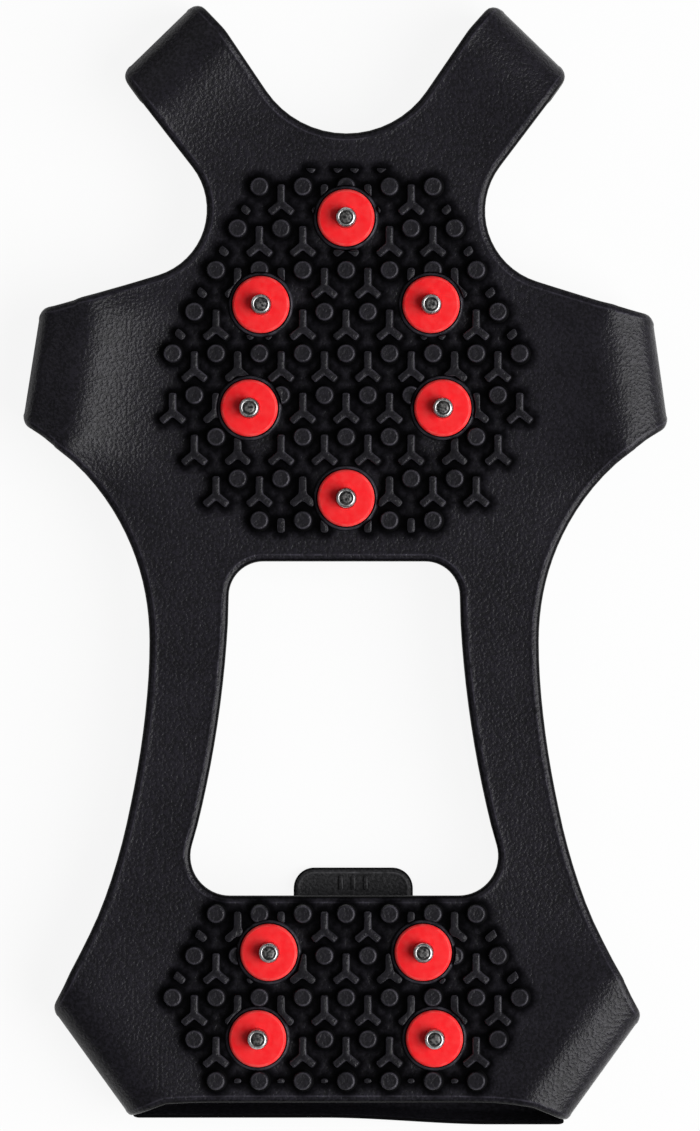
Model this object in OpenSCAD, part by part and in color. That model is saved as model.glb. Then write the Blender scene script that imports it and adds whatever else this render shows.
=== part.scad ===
// Slip-on ice cleat for a shoe, packed flat with its tread up.
// The rubber is one moulding. It is divided here into the regions that flex in their own way.
// Sizes are in millimetres. The toe points to +Y, the tread faces +Z and the floor is at zero.

/* [Rubber sheet] */
// Thickness of the moulded rubber
sheet_t = 3; // [2:0.1:4.5]
// Outer radius of the rolled strap ends
fold_r = 9; // [6:0.5:14]
// Rounding of the outer corners of the straps
corner_r = 2.5; // [0.5:0.1:4]

/* [Sole outline] */
// Half distance between the inner corners of the toe straps
toe_tip_x = 35.5; // [28:0.5:42]
// Toe end of the sole before its corner is rounded
toe_tip_y = 135.1; // [120:0.5:150]
// Half distance between the outer corners of the toe straps
toe_corner_x = 53.4; // [46:0.5:60]
// Station of the outer corner of the toe strap
toe_corner_y = 117.4; // [105:0.5:130]
// Station where the inner edges of the toe straps would meet
toe_gap_y = 86; // [78:0.5:94]
// Rounding of the gap between the toe straps
toe_gap_r = 24; // [15:0.5:30]
// Half width at the corner of the notch behind the toe strap
notch_x = 23; // [18:0.5:28]
// Station of the notch behind the toe strap
notch_y = 76.4; // [68:0.5:84]
// Rounding of the notch behind the toe strap
notch_r = 15.5; // [8:0.5:20]
// Half width at the front of the side strap
side_front_x = 73.6; // [64:0.5:84]
// Station of the front of the side strap
side_front_y = 61.2; // [52:0.5:70]
// Half width at the rear of the side strap
side_rear_x = 77.9; // [68:0.5:88]
// Station of the rear of the side strap
side_rear_y = 32.6; // [24:0.5:40]
// Half width at the waist
waist_x = 46.7; // [42:0.5:54]
// Station of the waist
waist_y = -18.5; // [-28:0.5:-8]
// Half width at the front of the heel strap
heel_corner_x = 71; // [62:0.5:80]
// Station of the front of the heel strap
heel_corner_y = -106.6; // [-114:0.5:-98]
// Half width at the rear of the heel strap
heel_tail_x = 52.4; // [46:0.5:60]
// Station of the rear of the heel strap
heel_tail_y = -132.4; // [-140:0.5:-124]
// Rear edge of the heel pad
heel_rear_y = -129.3; // [-132:0.5:-126]

/* [Arch window] */
// Front edge of the window
window_front_y = 1; // [-6:0.5:4]
// Rear edge of the window
window_rear_y = -79.6; // [-84:0.5:-74]
// Half width of the window at its front
window_front_x = 27.2; // [22:0.5:32]
// Half width of the window at its rear before rounding
window_rear_x = 40; // [35:0.5:44]
// Rounding of the front corners of the window
window_front_r = 6.5; // [2:0.5:9]
// Rounding of the rear corners of the window
window_rear_r = 9; // [3:0.5:11]

/* [Straps] */
// Length of the toe strap from its rolled end to the pad
toe_strap_len = 36; // [28:0.5:42]
// Length of the side strap from its rolled end to the pad
side_strap_len = 24; // [20:0.5:28]
// Length of the heel strap from its rolled end to the pad
heel_strap_len = 18; // [16:0.5:21]

/* [Upper ring] */
// Distance of the side rail inside the edges of the waist strip
rail_inset = 2; // [0.5:0.5:5]
// Centre of the rounded toe band
ring_front_y = 68; // [62:0.5:72]
// Outer radius of the rounded toe band
ring_front_r = 33; // [28:0.5:34]
// Width of the toe band
band_w = 13; // [8:0.5:18]
// Station where the side rails pass into the heel band
rail_rear_y = -70; // [-76:0.5:-60]
// Rear end of the mouth in the ring
mouth_rear_y = -89; // [-100:0.5:-84]
// Rounding of the rear corners of the mouth
mouth_r = 10; // [3:0.5:14]
// Rear edge of the heel band on the floor
lip_y = -133.7; // [-138:0.5:-131]

/* [Pull tab] */
// Width of the pull tab
tab_w = 28.8; // [18:0.2:40]
// Station of the tip of the pull tab
tab_tip_y = -73; // [-80:0.5:-60]
// Rounding of the tip of the pull tab
tab_r = 5; // [1:0.5:8]
// Running gap at the root of the pull tab
tab_gap = 0.3; // [0.2:0.05:0.6]
// Height of the grip bars on the pull tab
tab_bar_h = 0.5; // [0.2:0.1:1]

/* [Tread] */
// Distance between pegs across the sole
peg_pitch_x = 10.4; // [9:0.1:12]
// Distance between rows of pegs along the sole
peg_pitch_y = 10; // [9:0.1:12]
// Diameter of a peg at its foot
peg_d = 4.8; // [3:0.1:6]
// Diameter of a peg at its top
peg_top_d = 4.3; // [2.5:0.1:5.5]
// Height of a peg
peg_h = 3; // [1.5:0.1:4]
// Width of a rib
rib_w = 1.9; // [1:0.1:2.6]
// Height of a rib
rib_h = 2.4; // [1:0.1:4]
// Station of the first row of pegs on the forefoot
fore_row_y = 90.5; // [86:0.5:94]
// Station of the first row of pegs on the heel
heel_row_y = -83.9; // [-88:0.1:-82]

/* [Studs] */
// Diameter of the plastic disc
disc_d = 13.7; // [10:0.1:16]
// Thickness of the plastic disc
disc_t = 2; // [1:0.1:3]
// Bevel of the upper edge of the disc
disc_bevel = 0.5; // [0.1:0.1:0.9]
// Rubber left around the disc on its boss
boss_margin = 0.7; // [0.3:0.1:1.5]
// Height of the rubber boss under the disc
boss_h = 1.2; // [0.5:0.1:2.5]
// How far the middle of a peg may lie inside the edge of a boss
peg_bite = 0.4; // [0:0.1:1]
// Gap between a boss and the tread around it
tread_gap = 0.3; // [0.1:0.05:1]
// Diameter of the steel pin
pin_d = 4.8; // [4:0.1:6]
// Height of the steel pin above the disc
pin_out = 3.6; // [2:0.1:6]
// Bevel of the end of the steel pin
pin_bevel = 0.5; // [0.2:0.1:0.7]
// Diameter of the flange of the pin on the foot side
flange_d = 12; // [9:0.1:13]
// Thickness of the flange of the pin
flange_t = 1; // [0.6:0.1:1.5]
// Diameter of the hard tip
tip_d = 3; // [2:0.1:3.2]
// Depth of the hard tip in the pin
tip_depth = 3; // [1.5:0.1:4]
// Height of the hard tip above the pin
tip_out = 0.3; // [0.1:0.1:1]
// Radial clearance where one piece of a stud passes through another
fit = 0.05; // [0.02:0.01:0.15]
// Station of the stud at the toe
toe_stud_y = 83; // [80:0.5:86]
// Half distance between the shoulder studs
shoulder_stud_x = 20.4; // [18:0.2:24]
// Station of the shoulder studs
shoulder_stud_y = 62.2; // [60:0.2:64]
// Half distance between the ball studs
ball_stud_x = 23.2; // [20:0.2:26]
// Station of the ball studs
ball_stud_y = 37.4; // [34:0.2:40]
// Station of the stud in front of the arch
arch_stud_y = 15.8; // [13:0.2:18]
// Half distance between the front heel studs
heel_front_stud_x = 18.5; // [15:0.2:22]
// Station of the front heel studs
heel_front_stud_y = -93.1; // [-96:0.2:-90]
// Half distance between the rear heel studs
heel_rear_stud_x = 21.2; // [18:0.2:24]
// Station of the rear heel studs
heel_rear_stud_y = -113.8; // [-116:0.2:-111]

/* [Hidden] */
$fn = 48;
rubber_black = [0.09, 0.09, 0.1];
disc_red = [0.92, 0.1, 0.1];
steel_grey = [0.72, 0.72, 0.74];
carbide_grey = [0.3, 0.3, 0.33];

// A rolled end is cut flat by this much where it shows as an edge
fold_flat = 0.05;
fold_axis = fold_r - fold_flat;
sole_top = 2 * fold_r;
sole_bottom = sole_top - sheet_t;
disc_seat = sole_top + boss_h;
disc_top = disc_seat + disc_t;
pin_top = disc_top + pin_out;
boss_d = disc_d + 2 * boss_margin;
tail_tilt = atan((heel_rear_y - lip_y) / sole_top);

toe_tip = [toe_tip_x, toe_tip_y];
toe_corner = [toe_corner_x, toe_corner_y];
side_front = [side_front_x, side_front_y];
side_rear = [side_rear_x, side_rear_y];
heel_corner = [heel_corner_x, heel_corner_y];
heel_tail = [heel_tail_x, heel_tail_y];
waist = [waist_x, waist_y];
window_front = [window_front_x, window_front_y];
window_rear = [window_rear_x, window_rear_y];

toe_stud = [0, toe_stud_y];
shoulder_stud = [shoulder_stud_x, shoulder_stud_y];
ball_stud = [ball_stud_x, ball_stud_y];
arch_stud = [0, arch_stud_y];
heel_front_stud = [heel_front_stud_x, heel_front_stud_y];
heel_rear_stud = [heel_rear_stud_x, heel_rear_stud_y];
fore_studs = [
  toe_stud,
  shoulder_stud,
  left(shoulder_stud),
  ball_stud,
  left(ball_stud),
  arch_stud
];
heel_studs = [
  heel_front_stud,
  left(heel_front_stud),
  heel_rear_stud,
  left(heel_rear_stud)
];

// Pegs and ribs in each row, counted across the sole
fore_pegs = [5, 6, 7, 8, 9, 8, 7, 6, 5];
fore_ribs = [3, 6, 7, 8, 9, 8, 9, 8, 7, 4];
heel_pegs = [7, 8, 9, 8, 7];
heel_ribs = [0, 8, 9, 8, 7, 6];

function left(p) = [-p.x, p.y];

// Radius of the arc that leaves p along the sole and ends at q
function arc_r(p, q) = ((q.x - p.x) ^ 2 + (q.y - p.y) ^ 2) / (2 * (q.x - p.x));

// Half width of that arc at station y
function arc_x(p, q, y) = p.x + arc_r(p, q) - sqrt(arc_r(p, q) ^ 2 - (y - p.y) ^ 2);

// Points of that arc between its ends
function arc_points(p, q, n) = [
  for (i = [1:n - 1])
  let (y = p.y + (q.y - p.y) * i / n)
  [arc_x(p, q, y), y, 0]
];

// Points of the rounding of corner b between a and c
function corner(a, b, c, r) =
  let (u = ([a.x, a.y] - [b.x, b.y]) / norm([a.x - b.x, a.y - b.y]))
  let (v = ([c.x, c.y] - [b.x, b.y]) / norm([c.x - b.x, c.y - b.y]))
  let (half = acos(max(-1, min(1, u * v))) / 2)
  let (m = (u + v) / norm(u + v))
  let (centre = [b.x, b.y] + m * r / sin(half))
  let (first = atan2(-m.y, -m.x))
  let (sweep = 90 - half)
  let (turn = u.x * v.y - u.y * v.x > 0 ? -1 : 1)
  let (n = max(2, ceil(sweep / 7)))
  [for (i = [-n:n]) centre + r * [cos(first + turn * sweep * i / n), sin(first + turn * sweep * i / n)]];

// Points of a polygon whose corners each have their own radius
function rounded(c) = [
  for (i = [0:len(c) - 1])
  let (before = c[(i + len(c) - 1) % len(c)])
  let (after = c[(i + 1) % len(c)])
  for (p = c[i][2] > 0 ? corner(before, c[i], after, c[i][2]) : [[c[i].x, c[i].y]])
  p
];

function mirrored(c) = [
  for (i = [len(c) - 1:-1:0])
  [-c[i].x, c[i].y, c[i][2]]
];

// Corners of the right half of the sole. The tail can run on past the heel along its fold.
function half_sole(tail) =
  let (along = (heel_tail - heel_corner) / norm(heel_tail - heel_corner))
  let (end = heel_tail + along * tail)
  concat(
    [
      [toe_tip.x, toe_tip.y, corner_r],
      [toe_corner.x, toe_corner.y, corner_r],
      [notch_x, notch_y, notch_r],
      [side_front.x, side_front.y, corner_r],
      [side_rear.x, side_rear.y, corner_r]
    ],
    [for (p = arc_points(side_rear, waist, 9)) [arc_x(waist, side_rear, p.y), p.y, 0]],
    [[waist.x, waist.y, 0]],
    arc_points(waist, heel_corner, 8),
    [
      [heel_corner.x, heel_corner.y, corner_r],
      [end.x, end.y, corner_r],
      [end.x - 8, heel_rear_y - tail, 0]
    ]
  );

module sole_plan(tail = 0) {
  half = half_sole(tail);
  polygon(rounded(concat([[0, toe_gap_y, toe_gap_r]], half, mirrored(half))));
}

module window_plan() {
  half = concat(
    [[window_front.x, window_front.y, window_front_r]],
    arc_points(window_front, window_rear, 5),
    [[window_rear.x, window_rear.y, window_rear_r]]
  );
  polygon(rounded(concat(half, mirrored(half))));
}

// Puts the X axis along a fold from a to b, with the sole on the +Y side
module along_fold(a, b) {
  translate([a.x, a.y])
  rotate(atan2(b.y - a.y, b.x - a.x))
  children();
}

// Distance of a point from the line of a fold, on the side of the sole
function fold_depth(a, b, p) = cross(b - a, p - a) / norm(b - a);

// Band beside a fold, between two distances from the rolled end
module fold_zone(a, b, near, far, before, after) {
  along_fold(a, b)
  translate([-before, near])
  square([norm(b - a) + before + after, far - near]);
}

module toe_zone(near, far) {
  fold_zone(toe_corner, toe_tip, near, far, 16, 6);
}

module side_zone(near, far) {
  fold_zone(side_rear, side_front, near, far, 30, 14);
}

module heel_zone(near, far) {
  fold_zone(heel_tail, heel_corner, near, far, 16, 16);
}

module both_sides() {
  children();
  mirror([1, 0, 0])
  children();
}

module sheet(z) {
  translate([0, 0, z])
  linear_extrude(sheet_t)
  children();
}

// Half of a rolled tube along a fold, kept inside the outline of the sole
module rolled_end(a, b, tail) {
  length = norm(b - a) + 60;
  intersection() {
    translate([0, 0, -1])
    linear_extrude(sole_top + 2)
    sole_plan(tail);
    along_fold(a, b)
    translate([-30, fold_axis, fold_r])
    rotate([0, 90, 0])
    difference() {
      cylinder(r = fold_r, h = length);
      translate([0, 0, -1])
      cylinder(r = fold_r - sheet_t, h = length + 2);
      translate([-fold_r - 1, 0, -1])
      cube([2 * fold_r + 2, fold_r + 1, length + 2]);
    }
  }
}

// Space behind the heel, leaning from the edge of the pad to the lip of the heel band
module behind_heel() {
  translate([0, heel_rear_y, sole_top])
  rotate([-tail_tilt, 0, 0])
  translate([-100, -40, -60])
  cube([200, 40, 80]);
}

// Site of a tread element, counted from the left of its row
function site(rows_y, row, count, i) = [
  (i - (count - 1) / 2) * peg_pitch_x,
  rows_y - row * peg_pitch_y
];

// A peg stands only where its middle lies clear of every boss
function clear_of(p, studs) = min([for (s = studs) norm(p - s)]) > boss_d / 2 - peg_bite;

module peg_rows(first_y, counts, studs) {
  for (row = [0:len(counts) - 1])
  for (i = [0:counts[row] - 1])
  if (clear_of(site(first_y, row, counts[row], i), studs))
  translate(site(first_y, row, counts[row], i))
  cylinder(d1 = peg_d, d2 = peg_top_d, h = peg_h);
}

// Point beside a rib limb: from the joint, along angle a, then half a width to one side
function limb(a, length, side) = [
  length * cos(a) - side * rib_w / 2 * sin(a),
  length * sin(a) + side * rib_w / 2 * cos(a)
];

// Inner corner between two limbs
function fork(a, b) =
  let (half = abs(a - b) / 2)
  let (mid = (a + b) / 2)
  rib_w / 2 / sin(half) * [cos(mid), sin(mid)];

stem_len = 0.46 * peg_pitch_y;
arm_len = 0.37 * peg_pitch_y;
joint_up = 0.6 * peg_pitch_y;

module rib() {
  translate([0, joint_up])
  polygon([
    limb(90, stem_len, 1),
    fork(90, 220),
    limb(220, arm_len, -1),
    limb(220, arm_len, 1),
    fork(220, 320),
    limb(320, arm_len, -1),
    limb(320, arm_len, 1),
    fork(-40, 90),
    limb(90, stem_len, -1)
  ]);
}

module rib_rows(first_y, counts) {
  for (row = [0:len(counts) - 1])
  if (counts[row] > 0)
  for (i = [0:counts[row] - 1])
  translate(site(first_y, row, counts[row], i))
  rib();
}

// Edge of the ribbed field, in pitches from the first row of pegs
module rib_field(first_y, corners) {
  half = [for (c = corners) [c.x * peg_pitch_x, first_y + c.y * peg_pitch_y, 0]];
  polygon(rounded(concat(half, mirrored(half))));
}

module tread(first_y, pegs, ribs, corners, studs) {
  difference() {
    union() {
      translate([0, 0, sole_top])
      peg_rows(first_y, pegs, studs);
      translate([0, 0, sole_top])
      linear_extrude(rib_h)
      intersection() {
        rib_rows(first_y, ribs);
        rib_field(first_y, corners);
      }
    }
    for (s = studs)
    translate([s.x, s.y, sole_top - 1])
    cylinder(d = boss_d + 2 * tread_gap, h = peg_h + 2);
  }
}

module boss(s) {
  translate([s.x, s.y, sole_top])
  cylinder(d = boss_d, h = boss_h);
}

module stud_hole(s) {
  translate([s.x, s.y, sole_bottom - 1])
  cylinder(d = pin_d + 2 * fit, h = sheet_t + boss_h + 2);
  translate([s.x, s.y, sole_bottom - 1])
  cylinder(d = flange_d + 2 * fit, h = flange_t + 1);
}

module forefoot_pad() {
  color(rubber_black)
  difference() {
    union() {
      sheet(sole_bottom)
      difference() {
        intersection() {
          sole_plan();
          translate([-100, window_front_y])
          square([200, 200]);
        }
        both_sides() {
          toe_zone(-10, toe_strap_len);
          side_zone(-10, side_strap_len);
        }
      }
      tread(fore_row_y, fore_pegs, fore_ribs,
        [[0.9, 0.48], [2.3, -0.28], [4.6, -4.78], [4.6, -5.6], [3.2, -8.3]], fore_studs);
      for (s = fore_studs)
      boss(s);
    }
    for (s = fore_studs)
    stud_hole(s);
  }
}

module heel_pad() {
  color(rubber_black)
  difference() {
    union() {
      sheet(sole_bottom)
      difference() {
        intersection() {
          sole_plan();
          translate([-100, window_rear_y - 200])
          square([200, 200]);
        }
        both_sides()
        heel_zone(-10, heel_strap_len);
      }
      tread(heel_row_y, heel_pegs, heel_ribs,
        [[3.3, 0.1], [4.3, -1.9], [4.3, -2.8], [3.5, -4.06]], heel_studs);
      for (s = heel_studs)
      boss(s);
    }
    for (s = heel_studs)
    stud_hole(s);
  }
}

module waist_strip() {
  color(rubber_black)
  sheet(sole_bottom)
  difference() {
    intersection() {
      sole_plan();
      translate([0, window_rear_y])
      square([100, window_front_y - window_rear_y]);
    }
    window_plan();
  }
}

module toe_strap() {
  color(rubber_black)
  sheet(sole_bottom)
  intersection() {
    sole_plan();
    toe_zone(fold_axis, toe_strap_len);
  }
}

module side_strap() {
  color(rubber_black)
  sheet(sole_bottom)
  intersection() {
    sole_plan();
    side_zone(fold_axis, side_strap_len);
  }
}

module heel_strap() {
  color(rubber_black)
  sheet(sole_bottom)
  intersection() {
    sole_plan();
    heel_zone(fold_axis, heel_strap_len);
  }
}

module toe_roll() {
  color(rubber_black)
  rolled_end(toe_corner, toe_tip, 0);
}

module side_roll() {
  color(rubber_black)
  rolled_end(side_rear, side_front, 0);
}

module heel_roll() {
  color(rubber_black)
  difference() {
    rolled_end(heel_tail, heel_corner, 14);
    behind_heel();
  }
}

// Lower length of a strap on the floor, narrowing from its rolled end to the ring
module strap_return(a, b, far) {
  length = norm(b - a);
  sheet(0)
  intersection() {
    sole_plan();
    along_fold(a, b)
    polygon([[-10, fold_axis], [length + 10, fold_axis], [length - 2, far], [2, far]]);
  }
}

// The toe strap runs in to the middle of the toe band
toe_reach = fold_depth(toe_corner, toe_tip, [0, ring_front_y]) - ring_front_r + band_w / 2;

module toe_band() {
  color(rubber_black)
  union() {
    sheet(0)
    difference() {
      translate([0, ring_front_y])
      circle(r = ring_front_r);
      translate([0, ring_front_y])
      circle(r = ring_front_r - band_w);
      translate([-100, ring_front_y - 200])
      square([200, 200]);
    }
    both_sides()
    strap_return(toe_corner, toe_tip, toe_reach);
  }
}

rail_stations = [for (i = [0:6]) waist_y + (rail_rear_y - waist_y) * i / 6];
mouth_stations = [for (i = [6:-1:0]) window_front_y + (rail_rear_y - window_front_y) * i / 6];

module side_rail() {
  color(rubber_black)
  union() {
    sheet(0)
    polygon(concat(
      [[ring_front_r, ring_front_y]],
      [
        for (i = [0:6])
        [arc_x(waist, heel_corner, rail_stations[i]) - rail_inset * (1 - i / 6), rail_stations[i]]
      ],
      [for (y = mouth_stations) [arc_x(window_front, window_rear, y) + rail_inset, y]],
      [[ring_front_r - band_w, ring_front_y]]
    ));
    strap_return(side_rear, side_front, side_rear_x - ring_front_r - 4);
  }
}

mouth_x = arc_x(window_front, window_rear, rail_rear_y) + rail_inset;

module heel_band() {
  color(rubber_black)
  difference() {
    sheet(0)
    difference() {
      intersection() {
        sole_plan(14);
        translate([-100, rail_rear_y - 200])
        square([200, 200]);
      }
      both_sides()
      heel_zone(-20, fold_axis);
      polygon(rounded([
        [mouth_x, rail_rear_y + 20, 0],
        [mouth_x, mouth_rear_y, mouth_r],
        [-mouth_x, mouth_rear_y, mouth_r],
        [-mouth_x, rail_rear_y + 20, 0]
      ]));
    }
    behind_heel();
  }
}

module heel_pull_tab() {
  root_y = mouth_rear_y + tab_gap;
  color(rubber_black)
  union() {
    linear_extrude(sheet_t)
    polygon(rounded([
      [tab_w / 2, root_y, 0],
      [tab_w / 2, tab_tip_y, tab_r],
      [-tab_w / 2, tab_tip_y, tab_r],
      [-tab_w / 2, root_y, 0]
    ]));
    for (i = [-1:1])
    translate([i * 3 - 0.5, tab_tip_y - 5.6, sheet_t - 0.5])
    cube([1, 3.2, tab_bar_h + 0.5]);
  }
}

module stud_disc(s) {
  color(disc_red)
  translate([s.x, s.y, disc_seat])
  rotate_extrude()
  polygon([
    [pin_d / 2 + fit, 0],
    [disc_d / 2, 0],
    [disc_d / 2, disc_t - disc_bevel],
    [disc_d / 2 - disc_bevel, disc_t],
    [pin_d / 2 + fit, disc_t]
  ]);
}

module stud_pin(s) {
  color(steel_grey)
  translate([s.x, s.y, 0])
  rotate_extrude()
  polygon([
    [0, sole_bottom],
    [flange_d / 2, sole_bottom],
    [flange_d / 2, sole_bottom + flange_t],
    [pin_d / 2, sole_bottom + flange_t],
    [pin_d / 2, pin_top - pin_bevel],
    [pin_d / 2 - pin_bevel, pin_top],
    [tip_d / 2 + fit, pin_top],
    [tip_d / 2 + fit, pin_top - tip_depth],
    [0, pin_top - tip_depth]
  ]);
}

module stud_tips() {
  color(carbide_grey)
  for (s = concat(fore_studs, heel_studs))
  translate([s.x, s.y, pin_top - tip_depth]) {
    cylinder(d = tip_d, h = tip_depth);
    translate([0, 0, tip_depth])
    cylinder(d1 = tip_d, d2 = tip_d - 2 * tip_out, h = tip_out);
  }
}

forefoot_pad();
heel_pad();
waist_strip();  // waist_strip_right
mirror([1, 0, 0]) waist_strip();  // waist_strip_left
toe_strap();  // toe_strap_right
mirror([1, 0, 0]) toe_strap();  // toe_strap_left
side_strap();  // side_strap_right
mirror([1, 0, 0]) side_strap();  // side_strap_left
heel_strap();  // heel_strap_right
mirror([1, 0, 0]) heel_strap();  // heel_strap_left
toe_roll();  // toe_roll_right
mirror([1, 0, 0]) toe_roll();  // toe_roll_left
side_roll();  // side_roll_right
mirror([1, 0, 0]) side_roll();  // side_roll_left
heel_roll();  // heel_roll_right
mirror([1, 0, 0]) heel_roll();  // heel_roll_left
toe_band();
side_rail();  // side_rail_right
mirror([1, 0, 0]) side_rail();  // side_rail_left
heel_band();
heel_pull_tab();
stud_disc(toe_stud);  // disc_toe
stud_disc(shoulder_stud);  // disc_shoulder_right
stud_disc(left(shoulder_stud));  // disc_shoulder_left
stud_disc(ball_stud);  // disc_ball_right
stud_disc(left(ball_stud));  // disc_ball_left
stud_disc(arch_stud);  // disc_arch
stud_disc(heel_front_stud);  // disc_heel_front_right
stud_disc(left(heel_front_stud));  // disc_heel_front_left
stud_disc(heel_rear_stud);  // disc_heel_rear_right
stud_disc(left(heel_rear_stud));  // disc_heel_rear_left
stud_pin(toe_stud);  // pin_toe
stud_pin(shoulder_stud);  // pin_shoulder_right
stud_pin(left(shoulder_stud));  // pin_shoulder_left
stud_pin(ball_stud);  // pin_ball_right
stud_pin(left(ball_stud));  // pin_ball_left
stud_pin(arch_stud);  // pin_arch
stud_pin(heel_front_stud);  // pin_heel_front_right
stud_pin(left(heel_front_stud));  // pin_heel_front_left
stud_pin(heel_rear_stud);  // pin_heel_rear_right
stud_pin(left(heel_rear_stud));  // pin_heel_rear_left
stud_tips();
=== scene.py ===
"""Ice cleat, tread side up: a moulded rubber sole with red stud discs, its ring folded under it."""
import math

import bmesh
import bpy
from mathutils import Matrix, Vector
from mathutils.geometry import delaunay_2d_cdt
from mathutils.kdtree import KDTree
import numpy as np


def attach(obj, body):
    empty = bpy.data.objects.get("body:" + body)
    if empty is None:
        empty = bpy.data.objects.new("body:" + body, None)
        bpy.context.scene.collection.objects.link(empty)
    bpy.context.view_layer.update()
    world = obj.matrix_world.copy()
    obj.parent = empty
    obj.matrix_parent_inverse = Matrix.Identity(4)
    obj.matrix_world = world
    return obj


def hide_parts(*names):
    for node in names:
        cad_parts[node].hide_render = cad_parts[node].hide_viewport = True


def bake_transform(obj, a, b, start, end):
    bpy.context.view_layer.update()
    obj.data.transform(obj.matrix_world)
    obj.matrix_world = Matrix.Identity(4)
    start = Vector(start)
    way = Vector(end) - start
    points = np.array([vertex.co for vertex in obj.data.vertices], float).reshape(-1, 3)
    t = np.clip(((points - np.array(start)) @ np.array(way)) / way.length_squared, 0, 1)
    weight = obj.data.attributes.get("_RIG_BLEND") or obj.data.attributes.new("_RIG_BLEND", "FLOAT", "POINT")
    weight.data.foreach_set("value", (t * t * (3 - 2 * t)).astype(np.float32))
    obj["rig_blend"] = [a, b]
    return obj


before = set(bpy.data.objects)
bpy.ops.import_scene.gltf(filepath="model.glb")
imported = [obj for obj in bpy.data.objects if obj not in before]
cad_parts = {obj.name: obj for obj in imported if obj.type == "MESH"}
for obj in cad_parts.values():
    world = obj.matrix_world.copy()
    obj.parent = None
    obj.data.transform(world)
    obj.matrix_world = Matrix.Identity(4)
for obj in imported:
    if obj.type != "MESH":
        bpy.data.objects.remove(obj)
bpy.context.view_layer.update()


# Sole sheet. One moulded sheet of black rubber, 3 mm thick: the forefoot and heel pads, the two
# strips round the arch window and six straps. Each strap rolls under at its end and comes back
# on the floor as part of the ring. All edges are rounded by the mould.
MM = 0.001
toe_gap = (0, 85.4, 23.3)
waist_y = -18.5
side_lean = ((-18, 0), (0, -0.15), (16, -0.28), (26, -0.35), (32.5, 0))
heel_lean = (
    *((-104, 0), (-93, -0.25), (-85, -0.55), (-78, -0.52)),
    *((-66, -0.22), (-56, 0.1), (-40, 0.18), (-20, 0)),
)
heel_rear_y = -129.3
strap_corner_r = 1.6
window_front = (27.5, 0.6, 8.3)
window_rear = (40, -79.6, 9.5)
window_side = (-9.4, -67.6)
window_shift = -0.42
sheet_t = 3
fold_r = 9
fold_axis = 8.95
fold_mid_r = fold_r - sheet_t / 2
sole_top = 2 * fold_r
sheet_rim_r = 1.35
sheet_bead = 0.1
tail_start = math.radians(168)
tail_end = math.radians(212)
tail_taper = 2.4
tail_corner_r = 1.9
tail_lift = 0.25
tail_lift_share = 0.2
tail_rim_cut = 0.55
tail_rim_run = 0.3
toe_root_r = 14
side_bend_r = 40
rear_blend_x = 12
least_fold_y = 0.03
roll_steps = 24
roll_row_step = 3
corner_step = math.radians(7)
least_miter = 0.5
swell_fade = 14
swell_section = (
    *((-14.6, 0), (-10.7, 0.5), (-6.8, 1.8), (-3.6, 2.7), (-1.3, 3.1), (1.1, 3.1)),
    *((3.7, 2.45), (6.3, 2.05), (8.95, 2.45), (10.2, 2.85), (11.4, 3.0), (13, 2.8)),
    *((16, 2.2), (20, 1.45), (25, 0.75), (30, 0.3), (35, 0.08), (39, 0)),
)


def flipped(p):
    return (-p[0], *p[1:])


def mirrored(corners):
    return [flipped(c) for c in reversed(corners)]


def direction(a):
    return Vector((math.cos(a), math.sin(a)))


def arc_half_width(p, q, y):
    """Half width at station y of the arc that leaves p along the sole and ends at q."""
    r = ((q[0] - p[0]) ** 2 + (q[1] - p[1]) ** 2) / (2 * (q[0] - p[0]))
    return p[0] + r - math.sqrt(r * r - (y - p[1]) ** 2)


def arc_stations(p, q, start, end, count, margin=0.0, lean=None):
    """Points near that arc between two stations, ends left out; lean says how far off it."""
    ys = [start + (end - start) * i / count for i in range(1, count)]
    return [
        (arc_half_width(p, q, y) + margin + (curve_at(lean, y) if lean else 0), y, 0) for y in ys
    ]


def rounding(a, b, c, r):
    """Points of the rounding of corner b between a and c."""
    b = Vector(b[:2])
    u = (Vector(a[:2]) - b).normalized()
    v = (Vector(c[:2]) - b).normalized()
    half = math.acos(max(-1, min(1, u.dot(v)))) / 2
    m = (u + v).normalized()
    centre = b + m * (r / math.sin(half))
    first = math.atan2(-m.y, -m.x)
    sweep = math.pi / 2 - half
    turn = -1 if u.x * v.y - u.y * v.x > 0 else 1
    n = max(2, math.ceil(sweep / corner_step))
    angles = [first + turn * sweep * i / n for i in range(-n, n + 1)]
    return [centre + r * direction(t) for t in angles]


def rounded(corners):
    """Polygon whose corners each have their own radius."""
    points = []
    for i, c in enumerate(corners):
        r = c[2] if len(c) > 2 else 0
        after = corners[(i + 1) % len(corners)]
        points += rounding(corners[i - 1], c, after, r) if r else [Vector(c[:2])]
    return points


def evenly(loop, step):
    """Closed loop with no side longer than step."""
    points = []
    for i, p in enumerate(loop):
        q = loop[(i + 1) % len(loop)]
        n = max(1, math.ceil((q - p).length / step))
        points += [p.lerp(q, k / n) for k in range(n)]
    return points


def signed_area(loop):
    return sum(p.x * q.y - q.x * p.y for p, q in zip(loop, loop[1:] + loop[:1])) / 2


def within(p, loop):
    hit = False
    for a, b in zip(loop, loop[1:] + loop[:1]):
        if (a.y > p.y) != (b.y > p.y) and p.x < a.x + (p.y - a.y) * (b.x - a.x) / (b.y - a.y):
            hit = not hit
    return hit


def inset(loop, depth, slack=None):
    """Loop moved to its left by depth, or less where slack says so."""
    moved = []
    for i, p in enumerate(loop):
        d = (p - loop[i - 1]).normalized()
        e = (loop[(i + 1) % len(loop)] - p).normalized()
        n = Vector((-d.y - e.y, d.x + e.x)).normalized()
        share = slack(p) if slack else 1
        moved.append(p + n * depth * share / max(least_miter, n.dot(Vector((-d.y, d.x)))))
    return moved


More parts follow.
